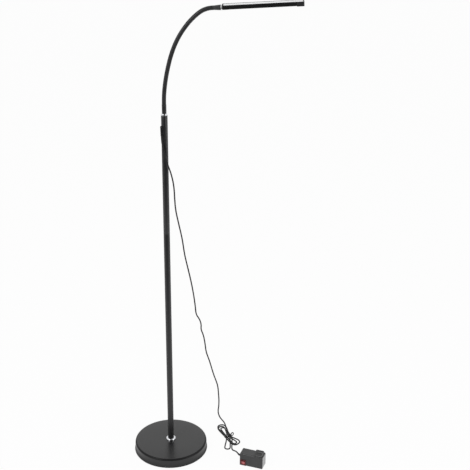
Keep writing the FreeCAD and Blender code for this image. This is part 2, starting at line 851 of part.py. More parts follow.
def rib_block(inset, left):
    """Block for the arched rib, rounded at its right end."""
    solid = block(
        (left, rib_inset + inset, adapter_height - adapter_wall / 2), (rib_right - inset, rib_back - inset, rib_high),
    )
    return rounded(solid, rib_round - inset, lambda middle: middle.x > rib_right - inset - running_gap
                   and abs(middle.z - adapter_height) < adapter_wall
                   and not rib_inset + rib_round < middle.y < rib_back - rib_round)


rib = rib_block(0, rib_left).cut(rib_block(rib_width, rib_left - overrun))
shell = shell.fuse(rib)
relief_start = vec(0, relief_depth, relief_height)
relief_hole = relief_neck_radius + running_gap
shell = shell.cut(along_adapter(
    rod(relief_hole, -overrun, adapter_wall + overrun), forward, relief_start,
))
switch_centre = vec(switch_place, 0, switch_place)


def switch_block(size, front, back):
    """Square block about the switch's centre."""
    half = size / 2
    return block(
        (switch_centre.x - half, front, switch_centre.z - half), (switch_centre.x + half, back, switch_centre.z + half),
    )


shell = shell.cut(switch_block(switch_tub + 2 * loose_gap, -overrun, adapter_wall + overrun))
keep_adapter("adapter_shell", shell)

cover = block((0, shell_depth, 0), (adapter_length, adapter_depth, adapter_height))
cover = rounded(cover, adapter_round, lambda middle: middle.y > shell_depth + running_gap)
lip_inset = adapter_wall + loose_gap
cover = cover.fuse(block(
    (lip_inset, shell_depth - cover_lip, lip_inset),
    (adapter_length - lip_inset, shell_depth, adapter_height - lip_inset),
))
lip_inside = lip_inset + lip_thickness
cover = cover.cut(block(
    (lip_inside, shell_depth - cover_lip - overrun, lip_inside),
    (adapter_length - lip_inside, adapter_depth - cover_wall, adapter_height - lip_inside),
))
keep_adapter("adapter_cover", cover)
plate_low = adapter_height - plate_height
plate_back = adapter_depth + plate_depth
plate = block((plate_left, adapter_depth, plate_low), (plate_left + plate_width, plate_back, adapter_height))
plate = rounded(plate, plate_round, lambda middle: middle.y > adapter_depth + running_gap
                and middle.y < plate_back - running_gap)
plate_middle = plate_left + plate_width / 2
pin_start = plate_back - pin_root
sleeve_end = plate_back + pin_sleeve_length
pin_hole_radius = pin_sleeve_radius + running_gap
pins = []
for side in (-pin_spacing / 2, pin_spacing / 2):
    place = vec(plate_middle + side, 0, pin_height)
    reach = plate_back + pin_length
    pin = turned(
        (0, pin_start), (pin_sleeve_radius, pin_start), (pin_sleeve_radius, sleeve_end), (pin_radius, sleeve_end),
        (pin_radius, reach - pin_chamfer), (pin_radius - pin_chamfer, reach), (0, reach),
    )
    pins.append(along_adapter(pin, sideways, place))
    plate = plate.cut(along_adapter(rod(pin_hole_radius, pin_start, plate_back + overrun), sideways, place))
    mount = adapter_frame.multVec(place + sideways * ((sleeve_end + reach - pin_chamfer) / 2))
    print("pin mount", mount, adapter_frame.Rotation.multVec(sideways))
keep_adapter("plug_plate", plate)
keep_adapter("plug_pins", Part.makeCompound(pins))

relief_bend = relief_length / math.radians(relief_turn)


def relief_place(share):
    """Place on the strain relief's bent middle line, at a share of its length, and the way out there."""
    angle = math.radians(relief_turn * share)
    place = relief_start + (sideways * (1 - math.cos(angle)) - forward * math.sin(angle)) * relief_bend
    return place, sideways * math.sin(angle) - forward * math.cos(angle)


relief_rings = []
for number in range(relief_ring_count):
    share = number / (relief_ring_count - 1)
    radius = relief_root_radius + (relief_tip_radius - relief_root_radius) * share
    relief_rings.append(Part.Wire([Part.makeCircle(radius, *relief_place(share))]))
relief = Part.makeLoft(relief_rings, True, True)
relief_root = turned(
    (0, 0), (relief_neck_radius, 0), (relief_neck_radius, adapter_wall), (relief_flange_radius, adapter_wall),
    (relief_flange_radius, adapter_wall + relief_flange), (0, adapter_wall + relief_flange),
)
keep_adapter("adapter_relief", relief.fuse(along_adapter(relief_root, forward, relief_start)))
print("relief tip", adapter_frame.multVec(relief_place(1)[0]), adapter_frame.Rotation.multVec(relief_place(1)[1]))

circuit_end = adapter_length - adapter_wall - loose_gap
circuit_back = shell_depth - cover_lip - loose_gap
circuit_start = vec(relief_flange + adapter_wall + circuit_gap, 0, 0)
board = block(
    (circuit_start.x, adapter_wall + loose_gap, circuit_height),
    (circuit_end, circuit_back, circuit_height + circuit_thickness),
)
board_top = circuit_height + circuit_thickness
for number in range(capacitor_count):
    place = circuit_end - capacitor_step * (number + 1)
    board = board.fuse(rod(
        capacitor_radius, board_top, board_top + capacitor_height, place, circuit_back - 2 * capacitor_radius,
    ))
keep_adapter("adapter_board", board)
keep_adapter("adapter_transformer", block(
    (core_left, circuit_back - core_depth, circuit_height - core_height),
    (core_left + core_length, circuit_back, circuit_height),
))

bezel = switch_block(switch_flange, -switch_flange_depth, 0).fuse(switch_block(switch_tub, 0, switch_depth))
bezel = bezel.cut(switch_block(switch_pocket, -switch_flange_depth - overrun, switch_depth - switch_floor))
rocker_pivot = vec(switch_place, rocker_pivot_depth, switch_place)
pin_hole_start = rocker_pivot - forward * (switch_tub / 2 + overrun)
bezel = bezel.cut(along_adapter(
    rod(rocker_pin_radius + running_gap, 0, switch_tub + 2 * overrun), forward, pin_hole_start,
))
keep_adapter("switch_bezel", bezel)
rocker_face = outline(
    (rocker_half, -rocker_front), (0, -rocker_valley), (-rocker_half, -rocker_front), (-rocker_half, -rocker_back),
    (-rocker_keel, rocker_keel), (rocker_keel, rocker_keel), (rocker_half, -rocker_back),
)
rocker_face.rotate(centre, sideways, 90)
rocker_face.rotate(centre, upward, 90)
rocker = rocker_face.extrude(forward * rocker_width)
rocker.translate(forward * (-rocker_width / 2))
rocker.rotate(centre, forward, rocker_tilt)
hinge_reach = rocker_width / 2 + rocker_pin_length
rocker = rocker.fuse(along_adapter(rod(rocker_pin_radius, -hinge_reach, hinge_reach), forward, centre))
rocker.translate(rocker_pivot)
keep_adapter("power_rocker", rocker)
print("rocker pivot", adapter_frame.multVec(rocker_pivot), adapter_frame.Rotation.multVec(forward))
print("nodes", len(nodes))
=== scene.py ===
import json
import math

import bmesh
import bpy
from mathutils import Matrix, Vector


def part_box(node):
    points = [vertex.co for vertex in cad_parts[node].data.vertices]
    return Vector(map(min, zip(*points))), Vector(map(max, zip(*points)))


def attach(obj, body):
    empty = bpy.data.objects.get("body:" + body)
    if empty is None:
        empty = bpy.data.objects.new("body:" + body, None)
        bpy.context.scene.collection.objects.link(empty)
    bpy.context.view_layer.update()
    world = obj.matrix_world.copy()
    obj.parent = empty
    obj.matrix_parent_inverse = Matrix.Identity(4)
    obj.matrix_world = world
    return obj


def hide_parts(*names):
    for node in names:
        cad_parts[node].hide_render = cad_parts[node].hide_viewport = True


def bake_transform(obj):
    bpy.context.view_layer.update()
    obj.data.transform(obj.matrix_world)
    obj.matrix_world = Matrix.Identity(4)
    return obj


# Corner floor lamp, in metres: the base stands on z = 0 with its centre at the origin, and the light head
# points along +X. Lengths that are easier to read in millimetres are written as a number times mm.

mm = 0.001
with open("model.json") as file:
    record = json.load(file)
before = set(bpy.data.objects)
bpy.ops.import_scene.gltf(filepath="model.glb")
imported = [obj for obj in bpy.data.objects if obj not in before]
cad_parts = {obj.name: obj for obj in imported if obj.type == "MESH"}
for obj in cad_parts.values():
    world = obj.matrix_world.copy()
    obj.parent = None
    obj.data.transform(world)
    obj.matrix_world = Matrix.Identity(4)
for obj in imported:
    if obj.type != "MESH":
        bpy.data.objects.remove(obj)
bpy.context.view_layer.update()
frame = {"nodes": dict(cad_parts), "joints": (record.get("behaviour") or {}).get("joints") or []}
nodes = frame["nodes"]
scene = bpy.context.scene


# Camera and stage

camera_place = Vector((264.682, -2903.413, 2036.987)) * mm
camera_pitch = 0.39962
camera_roll = 0.0081
camera_yaw = 0.01608
camera_data = bpy.data.cameras.new("camera")
camera_data.sensor_width = 36
camera_data.lens = 75.7
camera_data.clip_start = 0.1
camera_data.clip_end = 30
camera = bpy.data.objects.new("camera", camera_data)
tilt = Matrix.Rotation(math.pi / 2 - camera_pitch, 4, "X") @ Matrix.Rotation(camera_roll, 4, "Z")
camera.matrix_world = Matrix.Translation(camera_place) @ Matrix.Rotation(camera_yaw, 4, "Z") @ tilt
scene.collection.objects.link(camera)
scene.camera = camera
scene.view_settings.view_transform = "Standard"


# Cord: one spline from the boot on the pole, through the hank, to the adapter's strain relief. Its routes
# and the hank's measures are in millimetres, and headings in degrees from +X.

cord_diameter = 4.5 * mm
supply_route = (
    (-8.619, -11.032, 1140.0), (-8.619, -11.032, 1125.0), (-4.6, -15.6, 1104.0), (1.4, -19.0, 1078.0),
    (9.2, -18.4, 1050.0), (19.2, -11.6, 1017.0), (26.0, 0.2, 973.0), (26.6, 9.4, 924.0),
    (28.4, 17.6, 884.0), (37.0, 28.6, 832.0), (46.6, 41.2, 776.0), (51.8, 52.6, 718.0),
    (62.0, 63.4, 662.0), (71.4, 74.8, 608.0), (79.0, 86.4, 552.0), (83.6, 96.4, 502.0),
    (85.0, 103.6, 470.0), (97.6, 108.2, 448.0), (102.6, 111.8, 426.0), (100.6, 116.6, 405.0),
    (109.4, 122.0, 380.0), (114.4, 130.4, 341.0), (117.4, 138.6, 303.0), (126.6, 145.0, 272.0),
    (134.4, 152.6, 238.0), (142.6, 161.0, 200.0), (151.4, 166.8, 170.0), (157.6, 171.8, 146.0),
    (159.8, 180.6, 108.0), (161.2, 192.4, 73.0), (160.2, 199.8, 42.0), (157.2, 202.6, 20.5),
    (159.6, 196.6, 8.2), (165.6, 184.8, 2.3), (172.6, 171.6, 2.3), (180.481, 156.6, 2.3),
    (186.2, 139.0, 2.3),
)
tail_route = (
    (210.6, 52.6, 8.6), (212.853, 42.0, 8.6), (212.9, 29.0, 8.4), (213.3, 15.0, 7.0),
    (212.7, 1.5, 3.2), (213.3, -12.0, 3.4), (217.3, -26.0, 8.2), (223.3, -41.0, 16.8),
    (230.894, -56.837, 24.0), (236.614, -68.512, 24.0),
)
upper_heading = 113
upper_reach = 56
lower_heading = -56
waist_centre = Vector((196.5, 64, 0))
waist_heading = -60
waist_step = 5.8
waist_lift = 1.15
low_layer = 2.3
high_layer = 7.6
inner_bend = 9.9
loop_step = 5.2
side_heading = -89
side_bend = 9.5
side_reach = 66
crossing_share = 0.7
swing_points = 4


def heading(angle):
    """Level unit vector at an angle from +X."""
    return Vector((math.cos(math.radians(angle)), math.sin(math.radians(angle)), 0))


def waist(steps, height, sense):
    """Where a strand passes the waist, counted in steps from its middle, and which way it goes."""
    across = heading(waist_heading + 90) * (steps * waist_step)
    return waist_centre + across + Vector((0, 0, height + waist_lift)), heading(waist_heading) * sense


def lobe(angle, reach, out_steps, back_steps, height):
    """Three places round a lobe of the hank: out on its left, over its tip and back on its right."""
    out_radius = inner_bend + loop_step * out_steps
    back_radius = inner_bend + loop_step * back_steps
    way = heading(angle)
    left = heading(angle + 90)
    hub = waist_centre + way * reach + Vector((0, 0, height))
    return [
        (hub + left * out_radius, way),
        (hub + way * ((out_radius + back_radius) / 2), -left),
        (hub - left * back_radius, -way),
    ]


def side_lobe(reach, height):
    """Three places round the single loop that hangs from the waist towards the adapter."""
    steps = (side_bend - inner_bend) / loop_step
    return lobe(side_heading, reach, steps, steps, height)


def swing(first, last):
    """Points of a loop between two places, leaving the first and meeting the last along their ways."""
    (start, start_way), (end, end_way) = first, last
    angle = start_way.angle(end_way, 0)
    pull = (end - start).length
    if angle > 0.001:
        pull *= 2 * math.tan(angle / 4) / math.sin(angle / 2)
    points = []
    for step in range(swing_points):
        t = step / swing_points
        points.append(
            start * (2 * t ** 3 - 3 * t ** 2 + 1) + start_way * (pull * (t ** 3 - 2 * t ** 2 + t))
            + end * (3 * t ** 2 - 2 * t ** 3) + end_way * (pull * (t ** 3 - t ** 2))
        )
    return points


entry = Vector(supply_route[-1])
leaving = Vector(tail_route[0])
places = [(entry, heading(-72))]
places += [lobe(upper_heading, upper_reach, 0, 1, low_layer)[2], waist(1.5, low_layer, 1)]
places += lobe(lower_heading, 41, 2.3, 0.3, low_layer) + [waist(-1.5, low_layer, -1)]
places += lobe(upper_heading, upper_reach, 0.9, 0, low_layer) + [waist(0.5, low_layer, 1)]
places += lobe(lower_heading, 42, 0, -0.75, low_layer) + [waist(-0.5, low_layer, -1)]
places += lobe(upper_heading, 44, -0.25, -0.65, high_layer) + [waist(0.5, high_layer, 1)]
places.append((side_lobe(side_reach * crossing_share, high_layer)[0][0], heading(side_heading)))
places += side_lobe(side_reach, low_layer) + [waist(-1.5, high_layer, -1)]
places += lobe(upper_heading, upper_reach, 1, 0.9, high_layer) + [waist(1.5, high_layer, 1)]
places.append((leaving, heading(-78)))
loops = []
for first, last in zip(places, places[1:]):
    loops += swing(first, last)
cord_points = [Vector(point) for point in supply_route] + loops[1:]
cord_points += [Vector(point) for point in tail_route]

cord_data = bpy.data.curves.new("lamp_cord", "CURVE")
cord_data.dimensions = "3D"
cord_data.bevel_depth = cord_diameter / 2
cord_data.bevel_resolution = 4
cord_data.resolution_u = 5
cord_data.use_fill_caps = True
spline = cord_data.splines.new("NURBS")
spline.points.add(len(cord_points) - 1)
for point, place in zip(spline.points, cord_points):
    point.co = (*(place * mm), 1)
spline.order_u = 3
spline.use_endpoint_u = True
lamp_cord = bpy.data.objects.new("lamp_cord", cord_data)
scene.collection.objects.link(lamp_cord)


# Materials

adapter_turn = -18.9
adapter_corner = Vector((241.1, -97.1, 0)) * mm
adapter_length = 82 * mm
adapter_top = 46 * mm


class Wire:
    """A shader socket: sums and products of wires and numbers add Math nodes to its finish."""

    def __init__(self, finish, socket):
        self.finish = finish
        self.socket = socket

    def maths(self, operation, first, second):
        """A Math node's result."""
        return self.finish.node("ShaderNodeMath", {"operation": operation}, {0: first, 1: second})

    def __add__(self, other):
        return self.maths("ADD", self, other)

    def __radd__(self, other):
        return self.maths("ADD", other, self)

    def __sub__(self, other):
        return self.maths("SUBTRACT", self, other)

    def __rsub__(self, other):
        return self.maths("SUBTRACT", other, self)

    def __mul__(self, other):
        return self.maths("MULTIPLY", self, other)

    def wave(self):
        """Sine of an angle."""
        return self.finish.node("ShaderNodeMath", {"operation": "SINE"}, {0: self})


class Finish:
    """A material, or the world, in the making."""

    def __init__(self, name, library=bpy.data.materials):
        self.owner = library.new(name)
        self.owner.use_nodes = True
        self.tree = self.owner.node_tree
        self.tree.nodes.clear()

    def node(self, kind, settings=None, values=None, output=0):
        """Add a node, with its settings first and then its sockets' values or wires."""
        made = self.tree.nodes.new(kind)
        for name, setting in (settings or {}).items():
            if name == "stops":
                for stop, (position, shade) in zip(made.color_ramp.elements, setting):
                    stop.position = position
                    stop.color = (shade, shade, shade, 1)
            else:
                setattr(made, name, setting)
        for name, value in (values or {}).items():
            if isinstance(value, Wire):
                self.tree.links.new(value.socket, made.inputs[name])
            else:
                made.inputs[name].default_value = value
        return Wire(self, made.outputs[output]) if made.outputs else None

    def place(self, scale=(1, 1, 1)):
        """The piece's own place in metres, stretched along each axis."""
        here = self.node("ShaderNodeTexCoord", output="Object")
        return self.node("ShaderNodeMapping", None, {"Vector": here, "Scale": scale})

    def axis(self, vector, name):
        """The part of a vector that lies along one axis."""
        return self.node("ShaderNodeSeparateXYZ", None, {"Vector": vector}, output=name)

    def apart(self, middle=(0, 0, 0), scale=(1, 1, 1)):
        """Distance between the piece's own place and a point."""
        return self.node(
            "ShaderNodeVectorMath", {"operation": "DISTANCE"}, {0: self.place(scale), 1: middle},
            output="Value",
        )

    def ray(self, kind):
        """One for a ray of this kind, and nothing for others."""
        return self.node("ShaderNodeLightPath", output="Is " + kind + " Ray")

    def noise(self, scale, detail=2.0, roughness=0.5, stretch=(1, 1, 1)):
        """Soft noise about one half, with this many grains to the metre."""
        return self.node(
            "ShaderNodeTexNoise", None,
            {"Vector": self.place(stretch), "Scale": scale, "Detail": detail, "Roughness": roughness},
        )

    def eased(self, value, first, last, low, high):
        """Number that goes softly from low to high while a value goes from first to last."""
        return self.node(
            "ShaderNodeMapRange", {"interpolation_type": "SMOOTHSTEP"},
            {"Value": value, "From Min": first, "From Max": last, "To Min": low, "To Max": high},
        )

    def dulling(self, amount):
        """Roughness that a satin surface gains where it is seen edge on."""
        facing = self.node("ShaderNodeLayerWeight", None, {"Blend": 0.5}, output="Facing")
        return self.eased(facing, 0.45, 0.9, 0.0, amount)

    def ramp(self, value, *stops):
        """Grey that goes from one stop's shade to the other's."""
        return self.node("ShaderNodeValToRGB", {"stops": stops}, {"Fac": value})

    def mixed(self, amount, first, second):
        """One colour turning to another."""
        return self.node(
            "ShaderNodeMix", {"data_type": "RGBA"}, {0: amount, 6: (*first, 1), 7: (*second, 1)},
            output=2,
        )

    def bump(self, height, strength, distance):
        """Normal of a surface with this relief."""
        return self.node(
            "ShaderNodeBump", None, {"Height": height, "Strength": strength, "Distance": distance},
        )

    def done(self, **values):
        """Close the finish with its main shader."""
        sockets = {name.replace("_", " "): value for name, value in values.items()}
        return self.closed(self.node("ShaderNodeBsdfPrincipled", None, sockets))

    def closed(self, shader, output="ShaderNodeOutputMaterial"):
        """Close the finish with any shader."""
        self.node(output, None, {"Surface": shader})
        return self.owner


def paint_layers(finish):
    """Patches, grain and wear of baked paint."""
    patches = finish.noise(26, 3)
    grain = finish.noise(1500, 2)
    wear = finish.ramp(finish.noise(60, 6, 0.6), (0.62, 0), (0.8, 1))
    return patches, grain, wear


def painted_base():
    """Baked black paint under a satin coat, which is thin round the bend of the cover's edge."""
    finish = Finish("base_paint")
    patches, grain, wear = paint_layers(finish)
    radius = finish.apart(scale=(1, 1, 0))
    bend = finish.eased(radius, 118 * mm, 120 * mm, 0.0, 1.0)
    bend = bend * finish.eased(radius, 123.2 * mm, 124 * mm, 1.0, 0.0)
    return finish.done(
        Base_Color=finish.mixed(patches * 0.5 + wear * 0.2, (0.009, 0.009, 0.0094), (0.017, 0.017, 0.018)),
        Roughness=0.42 + (patches - 0.5) * 0.1 + wear * 0.05,
        Normal=finish.bump(grain + patches * 0.4, 0.12, 0.15 * mm),
        Specular_IOR_Level=0.12,
        Coat_Weight=0.78 - bend * 0.72,
        Coat_Roughness=0.28,
    )


def black_coat(name, shade, gloss, peel, shine=0.5):
    """Baked black paint with a faint orange peel and uneven gloss, duller towards its outline."""
    finish = Finish(name)
    patches, grain, wear = paint_layers(finish)
    dark = (shade, shade, shade * 1.04)
    light = (shade * 1.9, shade * 1.9, shade * 2.0)
    return finish.done(
        Base_Color=finish.mixed(patches * 0.5 + wear * 0.2, dark, light),
        Roughness=gloss + (patches - 0.5) * 0.1 + wear * 0.05 + finish.dulling(0.5),
        Normal=finish.bump(grain + patches * 0.4, peel, 0.15 * mm),
        Specular_IOR_Level=shine,
    )


def chrome_plate():
    """Bright plating with faint wiping marks."""
    finish = Finish("chrome_plate")
    smudge = finish.noise(90, 4, 0.6)
    marks = finish.noise(700, 2, 0.5, (1, 1, 0.12))
    return finish.done(
        Base_Color=finish.mixed(smudge, (0.62, 0.63, 0.65), (0.8, 0.81, 0.83)),
        Metallic=1.0,
        Roughness=0.1 + smudge * 0.08 + marks * 0.03,
        Normal=finish.bump(marks, 0.04, 0.05 * mm),
    )


def anodised_strip():
    """Satin silver aluminium, drawn lengthwise."""
    finish = Finish("anodised_strip")
    drawn = finish.noise(900, 3, 0.6, (0.015, 1, 1))
    patches = finish.noise(30, 2)
    return finish.done(
        Base_Color=finish.mixed(drawn * 0.6 + patches * 0.4, (0.93, 0.94, 0.95), (0.98, 0.985, 0.99)),
        Metallic=0.3,
        Roughness=0.36 + drawn * 0.08,
        Normal=finish.bump(drawn, 0.03, 0.05 * mm),
    )


def neck_sleeve():
    """Black flexible sleeve with fine rings."""
    finish = Finish("neck_sleeve")
    along = finish.node("ShaderNodeAttribute", {"attribute_name": "along"}, output="Fac")
    rings = (along * (math.tau / (1.5 * mm))).wave()
    patches = finish.noise(40, 3)
    return finish.done(
        Base_Color=finish.mixed(patches, (0.017, 0.017, 0.018), (0.03, 0.03, 0.032)),
        Roughness=0.42 + (patches - 0.5) * 0.12 + finish.dulling(0.5),
        Normal=finish.bump(rings * 0.5 + finish.noise(1600) * 0.3, 0.2, 0.12 * mm),
        Specular_IOR_Level=0.3,
    )


def cord_sheath():
    """Black cable sheath: smooth, a little dull, with slight waves from its winding."""
    finish = Finish("cord_sheath")
    patches = finish.noise(70, 3)
    grain = finish.noise(1800, 2)
    return finish.done(
        Base_Color=finish.mixed(patches, (0.006, 0.006, 0.0065), (0.016, 0.016, 0.017)),
        Roughness=0.46 + (patches - 0.5) * 0.16 + finish.dulling(0.5),
        Normal=finish.bump(grain + patches, 0.12, 0.1 * mm),
        Specular_IOR_Level=0.3,
    )


def moulded(name, dark, light, gloss, grain_depth=0.12):
    """Moulded plastic with spark-eroded grain."""
    finish = Finish(name)
    grain = finish.noise(2200, 3, 0.6)
    patches = finish.noise(35, 3)
    scuffs = finish.ramp(finish.noise(140, 5, 0.7, (1, 1, 3)), (0.6, 0), (0.78, 1))
    return finish.done(
        Base_Color=finish.mixed(patches * 0.7 + scuffs * 0.3, dark, light),
        Roughness=gloss + (grain - 0.5) * 0.12 + scuffs * 0.08,
        Normal=finish.bump(grain, grain_depth, 0.08 * mm),
    )


def adapter_case_painted_light():
    """The adapter's plastic: its right end shiny, a painted highlight on its raised rib and painted shade
    on the panel inside that.
    """
    finish = Finish("adapter_case_painted_light")
    grain = finish.noise(2200, 3, 0.6)
    patches = finish.noise(35, 3)
    place = finish.place()
    way = heading(adapter_turn)
    along = finish.node(
        "ShaderNodeVectorMath", {"operation": "DOT_PRODUCT"}, {0: place, 1: way}, output="Value",
    ) - way.dot(adapter_corner)
    height = finish.axis(place, "Z")
    # Painted highlight: the raised rib's top is made paler to stand for the light it catches.
    rib_highlight = finish.eased(height, adapter_top + 0.3 * mm, adapter_top + 0.6 * mm, 0.0, 1.0)
    # Painted shade: the top panel beside the rib is darkened to stand for the rib's shadow.
    panel_shade = finish.eased(height, adapter_top - 1.2 * mm, adapter_top - 0.8 * mm, 0.0, 1.0)
    panel_shade = panel_shade * finish.eased(along, 46 * mm, 54 * mm, 0.0, 1.0)
    end = finish.eased(along, adapter_length - 0.6 * mm, adapter_length - 0.1 * mm, 0.0, 1.0)
    # Random tone of the plastic, with the painted highlight on the rib and the painted shade on the panel.
    tone_and_painted_light = (0.14 + patches * 0.26) * (1.0 - panel_shade * 0.9) + rib_highlight * 0.8
    return finish.done(
        Base_Color=finish.mixed(tone_and_painted_light, (0.005, 0.005, 0.005), (0.1, 0.1, 0.102)),
        Roughness=0.3 + (grain - 0.5) * 0.12 + panel_shade * 0.15,
        Normal=finish.bump(grain, 0.12, 0.08 * mm),
        Coat_Weight=end,
        Coat_Roughness=0.2,
    )


def rocker_with_painted_highlight():
    """Clear red rocker, paler near its middle in a painted highlight."""
    finish = Finish("rocker_red_painted_highlight")
    low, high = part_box("power_rocker")
    # Painted highlight: the rocker's colour turns pale pink round a spot near its middle.
    glow_and_painted_highlight = (Vector(low) + Vector(high)) / 2 + heading(adapter_turn) * (1.5 * mm)
    painted_highlight = finish.eased(finish.apart(glow_and_painted_highlight), 2.5 * mm, 8.5 * mm, 1.0, 0.0)
    painted_highlight = painted_highlight * (0.9 + finish.noise(400, 3) * 0.2)
    return finish.done(
        Base_Color=finish.mixed(painted_highlight, (0.17, 0.008, 0.01), (0.66, 0.17, 0.18)),
        Roughness=0.2 + finish.noise(900, 2) * 0.06,
        Normal=finish.bump(finish.noise(2200, 3), 0.04, 0.05 * mm),
    )


def opal_diffuser():
    """Milky plastic with a fine grain."""
    finish = Finish("opal_diffuser")
    haze = finish.noise(50, 3)
    grain = finish.noise(2500, 2)
    return finish.done(
        Base_Color=finish.mixed(haze, (0.84, 0.84, 0.82), (0.92, 0.92, 0.9)),
        Roughness=0.34 + (haze - 0.5) * 0.1,
        Normal=finish.bump(grain, 0.1, 0.06 * mm),
    )


def bare_steel(name, dark, light):
    """Bare metal with turning marks."""
    finish = Finish(name)
    turned = finish.noise(1200, 3, 0.6, (1, 1, 0.1))
    patches = finish.noise(60, 4)
    return finish.done(
        Base_Color=finish.mixed(patches, dark, light),
        Metallic=0.95,
        Roughness=0.32 + turned * 0.18,
        Normal=finish.bump(turned, 0.1, 0.08 * mm),
    )


def cast_ballast():
    """Concrete with stones and pores."""
    finish = Finish("cast_ballast")
    stones = finish.noise(220, 6, 0.65)
    pores = finish.ramp(finish.noise(900, 3), (0.35, 0), (0.5, 1))
    return finish.done(
        Base_Color=finish.mixed(stones, (0.3, 0.29, 0.28), (0.55, 0.54, 0.52)),
        Roughness=0.85 + stones * 0.1,
        Normal=finish.bump(stones + pores * 0.5, 0.5, 0.5 * mm),
    )


def foam():
    """Black foam with small cells."""
    finish = Finish("foam_pad")
    cells = finish.node(
        "ShaderNodeTexVoronoi", None, {"Vector": finish.place(), "Scale": 900}, output="Distance",
    )
    patches = finish.noise(30)
    return finish.done(
        Base_Color=finish.mixed(patches, (0.02, 0.02, 0.02), (0.05, 0.05, 0.05)),
        Roughness=0.8 + cells * 0.15,
        Normal=finish.bump(cells, 0.4, 0.3 * mm),
    )


base_paint = painted_base()
pole_paint = black_coat("pole_paint", 0.013, 0.34, 0.08)
head_paint = black_coat("head_paint", 0.007, 0.36, 0.1, 0.3)
ferrule_paint = black_coat("ferrule_paint", 0.03, 0.5, 0.08)
chrome = chrome_plate()
silver = anodised_strip()
ring_satin = bare_steel("ring_satin", (0.86, 0.87, 0.88), (0.95, 0.95, 0.96))
sleeve_rubber = neck_sleeve()
sheath = cord_sheath()
opal = opal_diffuser()
case_plastic = moulded("case_plastic", (0.018, 0.018, 0.02), (0.04, 0.04, 0.043), 0.3)
cap_plastic = moulded("cap_plastic", (0.014, 0.014, 0.015), (0.03, 0.03, 0.032), 0.38)
lead_plastic = moulded("lead_plastic", (0.03, 0.03, 0.03), (0.06, 0.06, 0.06), 0.5)
tie_plastic = moulded("tie_plastic", (0.008, 0.008, 0.008), (0.02, 0.02, 0.02), 0.5)
case_painted_light = adapter_case_painted_light()
rocker_red_painted_highlight = rocker_with_painted_highlight()
bezel_red = moulded("bezel_red", (0.05, 0.003, 0.004), (0.085, 0.005, 0.006), 0.36, 0.05)
chip_yellow = moulded("chip_yellow", (0.8, 0.66, 0.2), (0.92, 0.8, 0.35), 0.4)
board_green = moulded("board_green", (0.03, 0.16, 0.06), (0.06, 0.26, 0.1), 0.35)
board_white = moulded("board_white", (0.75, 0.75, 0.74), (0.88, 0.88, 0.87), 0.4)
steel = bare_steel("zinc_steel", (0.45, 0.45, 0.47), (0.66, 0.66, 0.68))
core_steel = bare_steel("core_steel", (0.2, 0.2, 0.21), (0.36, 0.36, 0.37))
ballast = cast_ballast()
foam_pad = foam()

lamp_cord.data.materials.append(sheath)


# Pieces


def finished(mesh, name, material, body, *stands_for):
    """Make a mesh an object with its material, seat it on its body and hide the nodes it stands for."""
    data = bpy.data.meshes.new(name)
    mesh.to_mesh(data)
    mesh.free()
    data.shade_smooth()
    data.set_sharp_from_angle(angle=math.radians(35))
    data.materials.append(material)
    piece = bpy.data.objects.new(name, data)
    scene.collection.objects.link(piece)
    if body:
        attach(piece, body)
    if stands_for:
        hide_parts(*stands_for)
    return piece


def spun(outline, steps=96):
    """Spin a closed outline of (radius, height) in millimetres round the Z axis."""
    mesh = bmesh.new()
    points = [mesh.verts.new((radius * mm, 0, height * mm)) for radius, height in outline]
    edges = [mesh.edges.new(pair) for pair in zip(points, points[1:] + points[:1])]
    bmesh.ops.spin(
        mesh, geom=points + edges, cent=(0, 0, 0), axis=(0, 0, 1), angle=math.tau, steps=steps,
        use_merge=True,
    )
    bmesh.ops.remove_doubles(mesh, verts=mesh.verts, dist=0.001 * mm)
    bmesh.ops.recalc_face_normals(mesh, faces=mesh.faces)
    return mesh


def quarter(radius, height, bend, first, last, count):
    """Points of a rounded corner of an outline."""
    points = []
    for step in range(count + 1):
        angle = math.radians(first + (last - first) * step / count)
        points.append((radius + bend * math.cos(angle), height + bend * math.sin(angle)))
    return points


def softened(node, edge):
    """A copy of a node's mesh with its facets joined and its edges broken by some millimetres."""
    mesh = bmesh.new()
    mesh.from_mesh(nodes[node].data)
    bmesh.ops.remove_doubles(mesh, verts=mesh.verts, dist=0.002 * mm)
    bmesh.ops.dissolve_limit(mesh, angle_limit=math.radians(0.5), verts=mesh.verts, edges=mesh.edges)
    if edge:
        limit = math.radians(40)
        corners = [
            line for line in mesh.edges if len(line.link_faces) == 2 and line.calc_face_angle(0) > limit
        ]
        bmesh.ops.bevel(
            mesh, geom=corners, offset=edge * mm, offset_type="OFFSET", segments=2, profile=0.5,
            affect="EDGES", material=-1, clamp_overlap=True,
        )
    return mesh


def thickened(mesh, way):
    """Move the far side of a flat plate."""
    reaches = [point.co.dot(way) for point in mesh.verts]
    middle = (min(reaches) + max(reaches)) / 2
    far_side = [point for point in mesh.verts if point.co.dot(way) > middle]
    bmesh.ops.translate(mesh, verts=far_side, vec=way)


def dress(material, *names):
    """Give nodes that show as they are a finish."""
    for name in names:
        nodes[name].data.materials.clear()
        nodes[name].data.materials.append(material)


